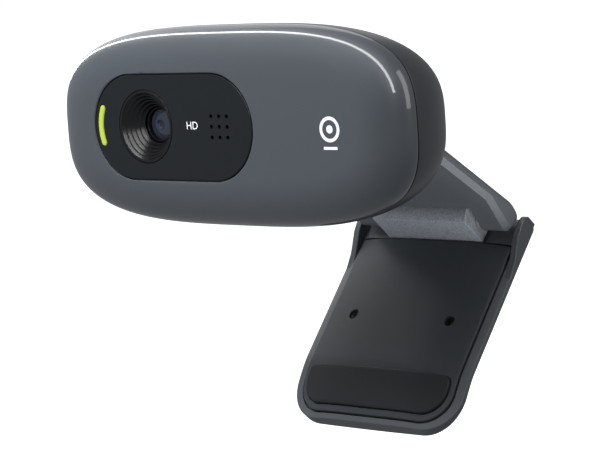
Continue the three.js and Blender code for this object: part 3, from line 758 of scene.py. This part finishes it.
makeFrontShell(frontSet)
makeRearShell(rearSet)
print("shells made")
makePanel(panelSet)
makeHood(hoodSet)
makeLens(domeSet)
makeLampWindow(lampSet)
print("face made")
makeGland(glandSet)
makeBracket(bracketSet)
print("back of the head made")

printSet = {"x": 24.2, "z": -0.25, "ringUp": 0.35, "ringOut": 1.95, "ringIn": 1.42, "dot": 0.62,
            "footHalf": 1.35, "footLow": -2.75, "footHigh": -2.3, "footCorner": 0.2,
            "thick": 0.03, "sunk": 0.05, "letters": "HD", "lettersX": -4.24, "lettersZ": 0.46, "letterSize": 1.75}


def makeMark(values):
    # A plain camera sign: a ring, a dot and a foot.
    centre = (values["x"], values["z"] + values["ringUp"])
    low, high = -values["thick"], values["sunk"]
    outer, inner = values["ringOut"], values["ringIn"]
    band = turnedPiece("ringMark", [(outer, high), (outer, low), (inner, low), (inner, high)], centre)
    dot = loopStack("dotMark", [ring(centre, values["dot"], high), ring(centre, values["dot"], low)])
    foot = box((values["x"] - values["footHalf"], low, values["z"] + values["footLow"]),
               (values["x"] + values["footHalf"], high, values["z"] + values["footHigh"]))
    roundEdges(foot, values["footCorner"], 3)
    mark = merged([band, dot, foot])
    mark.name = "camera_mark"
    finish(mark, "head", "head", "print", [])


def makeLetters(values):
    deselectAll()
    bpy.ops.object.text_add()
    letters = bpy.context.object
    letters.name = "panel_letters"
    letters.data.body = values["letters"]
    letters.data.size = values["letterSize"] * mm
    letters.data.align_x = "CENTER"
    letters.data.align_y = "CENTER"
    letters.data.extrude = values["thick"] * mm
    bpy.ops.object.convert(target="MESH")
    lie = Matrix.Translation(Vector((values["lettersX"], panelSet["face"], values["lettersZ"])) * mm)
    letters.matrix_world = lie @ Matrix.Rotation(axisTurn, 4, "X")
    bpy.ops.object.transform_apply(location=True, rotation=True, scale=True)
    faceOut(letters, 0.0001)
    finish(letters, "head", "head", "print", [])


makeMark(printSet)
makeLetters(printSet)
print("prints made")

armSet = {"half": 16.6, "under": 0.51, "top": 3.11, "start": -31, "flare": -7,
          "lobe": 1.85, "lobeTurn": (246, 350), "chamfer": 1.0, "edge": 0.14, "notch": -4.9, "notchHalf": 11.2,
          "tipY": 2.35, "tipZ": 0.9, "tipPull": 2.0, "tipEnd": -1.5, "bore": 1.1, "boreTo": 15.4,
          "eyeIn": 5.8, "eyeOut": 9.3, "eye": 2.9, "eyeEdge": 0.3,
          "planHalf": 18, "waistFrom": -21, "waistPull": -27, "tall": (12, -5)}


def bend(start, pull, end, steps):
    # Points along a curve that leaves start towards pull and comes to end from it.
    points = []
    for step in range(1, steps + 1):
        t = step / steps
        shares = ((1 - t) ** 2, 2 * t * (1 - t), t * t)
        points.append(tuple(sum(s * v for s, v in zip(shares, triple)) for triple in zip(start, pull, end)))
    return points


def makeArm(values):
    start, under, top = values["start"], values["under"], values["top"]
    outline = [(start, under), (values["flare"], under)]
    outline += arc((0, 0), values["lobe"], *values["lobeTurn"], 18)
    tip = (values["tipY"], values["tipZ"])
    outline.append(tip)
    outline += bend(tip, (values["tipPull"], top), (values["tipEnd"], top), 12)
    outline.append((start, top))
    arm = outlineBar("arm_base_skin", outline, -values["half"], values["half"], values["chamfer"], 1, 60)
    roundEdges(arm, values["edge"], 2, 28)
    # Seen from above, the arm narrows in a curve to its two eyes.
    wide = values["planHalf"]
    plan = [(-wide, 5), (-wide, values["waistFrom"])]
    plan += bend(plan[1], (-wide, values["waistPull"]), (-values["eyeOut"], start), 12)
    plan += [(-x, y) for x, y in reversed(plan)]
    carve(arm, loopStack("plan", [[(x, y, z) for x, y in plan] for z in values["tall"]]), "INTERSECT")
    axis = places["arm"].inverted() @ (places["head"] @ Vector((0, placing["tiltBehindFace"], 0))) / mm
    low, high = under + 0.01, top - 0.01
    lowTurn = math.degrees(math.asin((low - axis.z) / values["eye"]))
    highTurn = math.degrees(math.asin((high - axis.z) / values["eye"]))
    eyeOutline = [(start + 2, low)] + arc((axis.y, axis.z), values["eye"], 360 + lowTurn, highTurn, 40)
    eyeOutline.append((start + 2, high))
    for side in (-1, 1):
        ends = sorted((side * values["eyeIn"], side * values["eyeOut"]))
        carve(arm, outlineBar("eye", eyeOutline, ends[0], ends[1], values["eyeEdge"], 3), "UNION")
    carve(arm, box((-values["notchHalf"], values["notch"], -5), (values["notchHalf"], 6, 8)))
    carve(arm, rod(values["bore"], (-20, 0, 0), (values["boreTo"], 0, 0)), careful=True)
    carve(arm, rod(bracketSet["bore"], (-12, axis.y, axis.z), (12, axis.y, axis.z)), careful=True)
    finish(arm, "arm", "arm", "clip", ["arm_base"])


makeArm(armSet)
print("arm made")

faceSet = {"middle": -2.14, "flat": 5.2, "crown": 1.1, "crownHalf": 16.6, "bend": 28.5, "foot": 10, "ease": 1.5}


def footFall(y):
    # The foot bends back; the bend is eased over a few millimetres.
    past = -y - faceSet["bend"]
    slope = math.tan(math.radians(faceSet["foot"]))
    ease = faceSet["ease"]
    if past < -ease:
        return 0
    if past < ease:
        return slope * (past + ease) ** 2 / (4 * ease)
    return slope * past


def faceLevel(x, y):
    share = max(0, abs(x) - faceSet["flat"]) / (faceSet["crownHalf"] - faceSet["flat"])
    return faceSet["middle"] - faceSet["crown"] * share ** 2 - footFall(y)


def grown(values, grow):
    # The same rounded outline, larger all round.
    return {"half": values["half"] + grow, "far": values["far"] - grow, "near": values["near"] + grow,
            "corner": values["corner"] + grow, "topCorner": values["topCorner"] + grow}


plateSet = {"half": 16.3, "near": -3.3, "far": -37.6, "corner": 5.6, "topCorner": 0.6,
            "under": -3.7, "gap": 0.3, "edge": 0.35}
legSet = {"half": 18.2, "near": 2.35, "far": -38.9, "corner": 7, "topCorner": 1.6, "drop": 0.3, "edge": 0.55,
          "middle": -5.1, "crown": 0.4, "floor": -4.0, "hollow": -3.2, "earInner": 16.9, "earEdge": 0.3,
          "screwX": 6, "screwY": -2.1, "screwHole": 1.4}
earSet = {"foot": (2.2, -4.4), "rise": (2.2, -2.2), "round": (2.0, -1.2), "top": (0, -1.2),
          "fall": [(-2.4, -1.6), (-6.2, -3.2), (-10, -3.95), (-10, -4.4)]}


def makeLegBack(values):
    def behind(x, y):
        return values["middle"] + values["crown"] * (x / values["half"]) ** 2 - footFall(y)

    tray = roundedSlab("leg_back_skin", values, lambda x, y: faceLevel(x, y) - values["drop"], behind,
                       values["edge"], 4)
    room = grown(plateSet, plateSet["gap"])
    room.update(near=room["near"] + 0.2, topCorner=plateSet["topCorner"])
    carve(tray, roundedSlab("pocket", room, lambda x, y: 3, lambda x, y: values["floor"] - footFall(y)))
    carve(tray, box((-values["earInner"], plateSet["near"], values["hollow"]), (values["earInner"], 6, 8)))
    crest = bend(earSet["rise"], earSet["round"], earSet["top"], 8)
    ear = [earSet["foot"], earSet["rise"], *crest, *earSet["fall"]]
    holes = []
    for side in (-1, 1):
        ends = sorted((side * values["earInner"], side * (values["half"] - 0.01)))
        carve(tray, outlineBar("ear", ear, ends[0], ends[1], values["earEdge"], 3), "UNION")
        x, y = side * values["screwX"], values["screwY"]
        holes.append(rod(values["screwHole"], (x, y, -7), (x, y, -4.2), 32))
    carve(tray, merged(holes))
    finish(tray, "leg", "leg", "clip", ["leg_back"])


padSet = {"half": 15.3, "near": -29.4, "far": -36.4, "corner": 4.5, "topCorner": 1.2,
          "raised": 0.5, "sunk": 0.5, "seatGap": 0.15, "edge": 0.4}
holeSet = {"x": 10.5, "down": 19.1, "radius": 1.0, "ledge": -3.25, "through": 0.6}


def makePlate(values):
    plate = roundedSlab("leg_plate_skin", values, faceLevel, lambda x, y: values["under"] - footFall(y),
                        values["edge"], 4)
    carve(plate, roundedSlab("seat", grown(padSet, padSet["seatGap"]), lambda x, y: 4,
                             lambda x, y: faceLevel(x, y) - padSet["sunk"]))
    for side in (-1, 1):
        x, y = side * holeSet["x"], -holeSet["down"]
        carve(plate, rod(holeSet["radius"], (x, y, holeSet["ledge"]), (x, y, 2), 40))
        carve(plate, rod(holeSet["through"], (x, y, -6), (x, y, 2), 32))
    finish(plate, "leg", "leg", "plate", ["leg_plate"])


def makePad(values):
    deep = values["sunk"] - values["seatGap"]
    pad = roundedSlab("leg_pad_skin", values, lambda x, y: faceLevel(x, y) + values["raised"],
                      lambda x, y: faceLevel(x, y) - deep, values["edge"], 4)
    finish(pad, "leg", "leg", "rubber", ["leg_pad"])


knuckleSet = {"radius": 4.5, "half": 10.2, "front": -3.0, "back": 3.2, "low": -2.9, "edge": 0.45, "bore": 1.1}


def makeKnuckle(values):
    frontTurn = math.degrees(math.acos(values["front"] / values["radius"]))
    backTurn = math.degrees(math.acos(values["back"] / values["radius"]))
    outline = arc((0, 0), values["radius"], backTurn, frontTurn, 36)
    outline += [(values["front"], values["low"]), (values["back"], values["low"])]
    knuckle = outlineBar("hinge_knuckle_skin", outline, -values["half"], values["half"], values["edge"], 4)
    carve(knuckle, rod(values["bore"], (-12, 0, 0), (12, 0, 0)))
    finish(knuckle, "leg", "leg", "grain", ["hinge_knuckle"])


makeLegBack(legSet)
makePlate(plateSet)
makePad(padSet)
makeKnuckle(knuckleSet)
print("leg made")

# A mirrored lamp shows in glossy faces; one with a list of pieces lights only those.
lightSet = {
    "key": {"at": (-0.06, -0.17, 0.16), "aim": (0, -0.04, 0.012), "size": (0.22, 0.10), "power": 0.78,
            "mirrored": False},
    "backLeft": {"at": (-0.45, 0.35, 0.28), "aim": (0, 0, 0), "size": (0.5, 0.4), "power": 0.35,
                 "mirrored": True},
    "right": {"at": (0.42, 0.10, 0.20), "aim": (0, 0, 0), "size": (0.16, 0.40), "power": 0.55,
              "mirrored": True},
    "left": {"at": (-0.20, -0.45, -0.02), "aim": (0, 0, -0.02), "size": (0.3, 0.3), "power": 0.5,
             "mirrored": False},
    "under": {"at": (0.34, -0.16, -0.26), "aim": (0, 0.02, -0.02), "size": (0.4, 0.3), "power": 1.8,
              "mirrored": False, "lights": ("arm_base_skin", "hinge_knuckle_skin")},
    "below": {"at": (0.12, 0.12, -0.34), "aim": (0.015, 0.03, -0.01), "size": (0.25, 0.25), "power": 0.7,
              "mirrored": True, "lights": ("arm_base_skin",)},
}


def makeLights():
    for name, values in lightSet.items():
        data = bpy.data.lights.new(name, "AREA")
        data.shape = "RECTANGLE"
        data.size, data.size_y = values["size"]
        data.energy = values["power"]
        light = bpy.data.objects.new(name, data)
        bpy.context.scene.collection.objects.link(light)
        light.location = values["at"]
        light.rotation_mode = "QUATERNION"
        light.rotation_quaternion = (Vector(values["aim"]) - Vector(values["at"])).to_track_quat("-Z", "Y")
        light.visible_camera = False
        light.visible_glossy = values["mirrored"]
        if "lights" in values:
            only = bpy.data.collections.new(name + "Only")
            for pieceName in values["lights"]:
                only.objects.link(bpy.data.objects[pieceName])
            light.light_linking.receiver_collection = only


worldSet = {"seen": (1, 1, 1, 1), "fill": (0.93, 0.96, 1, 1), "strength": 0.30}


def makeWorld(values):
    # The camera sees plain white, and the object is lit by a softer fill.
    world = bpy.data.worlds.new("studio")
    bpy.context.scene.world = world
    world.use_nodes = True
    tree = world.node_tree
    seen = tree.nodes.new("ShaderNodeBackground")
    seen.inputs["Color"].default_value = values["seen"]
    fill = tree.nodes["Background"]
    fill.inputs["Color"].default_value = values["fill"]
    fill.inputs["Strength"].default_value = values["strength"]
    path = tree.nodes.new("ShaderNodeLightPath")
    mix = tree.nodes.new("ShaderNodeMixShader")
    tree.links.new(path.outputs["Is Camera Ray"], mix.inputs[0])
    tree.links.new(fill.outputs[0], mix.inputs[1])
    tree.links.new(seen.outputs[0], mix.inputs[2])
    tree.links.new(mix.outputs[0], tree.nodes["World Output"].inputs[0])
    bpy.context.scene.view_settings.view_transform = "Standard"


floorSet = {"size": 12, "height": -0.16, "colour": (0.85, 0.85, 0.86), "pale": (0.9, 0.9, 0.9), "rough": 0.9,
            "cloud": 400}


def makeFloor(values):
    deselectAll()
    bpy.ops.mesh.primitive_plane_add(size=values["size"], location=(0, 0, values["height"]))
    floor = bpy.context.object
    floor.name = "floor"
    bpy.ops.object.transform_apply(location=True, rotation=True, scale=True)
    made = Finish("floorPale")
    cloud = made.noise(values["cloud"], 2)
    made.set(Base_Color=made.between(cloud, values["colour"], values["pale"]), Roughness=values["rough"])
    made.set(Emission_Color=(1, 1, 1, 1), Emission_Strength=1.0)
    floor.data.materials.append(made.material)
    floor.visible_glossy = False
    floor.visible_diffuse = False
    floor.visible_shadow = False


# Where the lamp's line runs round the rounding and up it, in degrees, and how far off the lamp hangs.
stripSet = {"from": 20, "to": 158, "low": 29.9, "high": 33.3, "away": 0.36, "power": 11, "steps": 48,
            "nudge": 0.002}


def rimPoint(turn, fall):
    # A point on the front shell's rounding: how far round it, and how far up from its rim.
    along = math.sin(fall) ** (2 / frontSet["power"])
    inset = frontSet["reach"] * (1 - math.cos(fall) ** (2 / frontSet["power"]))
    across, high = math.cos(turn), math.sin(turn)
    power = ovalSet["squareness"]
    reach = (abs(across) ** power + abs(high) ** power) ** (-1 / power)
    x = (ovalSet["halfWidth"] - inset) * reach * across
    z = (ovalSet["halfHeight"] - inset) * reach * high
    return Vector((x, frontSet["rim"] * (1 - along), z)) * mm


def makeStripLamp(values):
    # A long thin lamp, bent so that it is mirrored as one even line along the head's top edge.
    eye = places["head"].inverted() @ bpy.context.scene.camera.matrix_world.translation
    nudge = values["nudge"]
    rows = []
    for share in (values["low"], values["high"]):
        row = []
        fall = math.radians(share)
        for step in range(values["steps"] + 1):
            turn = math.radians(values["from"] + (values["to"] - values["from"]) * step / values["steps"])
            point = rimPoint(turn, fall)
            sideways = rimPoint(turn + nudge, fall) - rimPoint(turn - nudge, fall)
            downwards = rimPoint(turn, fall + nudge) - rimPoint(turn, fall - nudge)
            square = sideways.cross(downwards).normalized()
            look = (point - eye).normalized()
            row.append(places["head"] @ (point + look.reflect(square) * values["away"]) / mm)
        rows.append(row)
    ribbon = loopStack("stripLamp", [rows[0] + rows[1][::-1]], True, False)
    lit = Finish("stripLit")
    glow = lit.node("ShaderNodeEmission", inputs={"Strength": values["power"]})
    lit.tree.links.new(glow.socket, lit.tree.nodes["Material Output"].inputs["Surface"])
    ribbon.data.materials.append(lit.material)
    ribbon.visible_camera = False
    ribbon.visible_diffuse = False


makeWorld(worldSet)
makeFloor(floorSet)
makeLights()
makeStripLamp(stripSet)
print("studio made")
